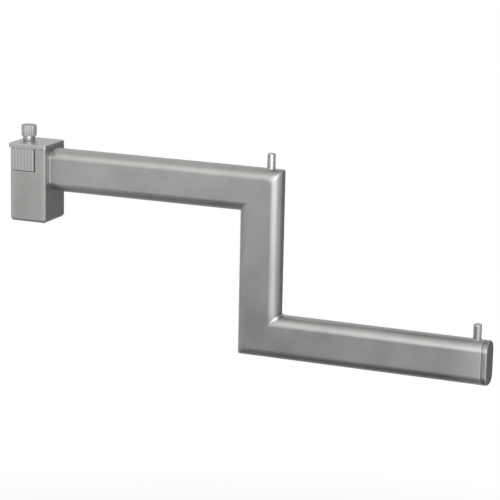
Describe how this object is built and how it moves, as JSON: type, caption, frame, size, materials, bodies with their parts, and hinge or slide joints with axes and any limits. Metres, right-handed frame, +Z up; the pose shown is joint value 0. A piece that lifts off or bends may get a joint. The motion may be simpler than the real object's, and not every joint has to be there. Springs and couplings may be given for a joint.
{
  "type": "stepped bracket",
  "caption": "Stepped display arm of flat-oval steel tube with upright stop pins, a square clamp head with a ribbed jaw and a knurled thumb screw",
  "frame": {"origin": "middle of the flat rear face of the head block, on the bracket's mid-plane", "axes": "+X away from the rail along the arms, +Z up, Y across the arms"},
  "size_m": [0.3473, 0.029, 0.1447],
  "materials": {
    "satin_steel": "satin, fine brushed grain",
    "polished_steel": "polished turned steel",
    "zinc_steel": "plain zinc"
  },
  "bodies": {
    "bracket": {"head_block": "satin_steel", "upper_arm_tube": "satin_steel", "riser_tube": "satin_steel", "lower_arm_tube": "satin_steel", "end_cap": "satin_steel", "upper_stop_pin": "polished_steel", "lower_stop_pin": "polished_steel"},
    "jaw_unit": {"cover_plate": "satin_steel", "clamp_jaw": "satin_steel", "jaw_screws": "zinc_steel"},
    "screw": {"thumb_screw": "polished_steel", "retaining_ring": "zinc_steel"}
  },
  "joints": [
    {"name": "jaw_lift", "type": "slide", "parent": "bracket", "child": "jaw_unit", "axis": [0, 0, 1], "range_m": [0, 0.012]},
    {"name": "screw_turn", "type": "hinge", "parent": "jaw_unit", "child": "screw", "pos_m": [0.0072, 0, 0.0325], "axis": [0, 0, 1], "range_deg": [0, 4320]}
  ],
  "couplings": [
    {"joint": "screw_turn", "follows": "jaw_lift", "rad_per_m": 6283}
  ]
}
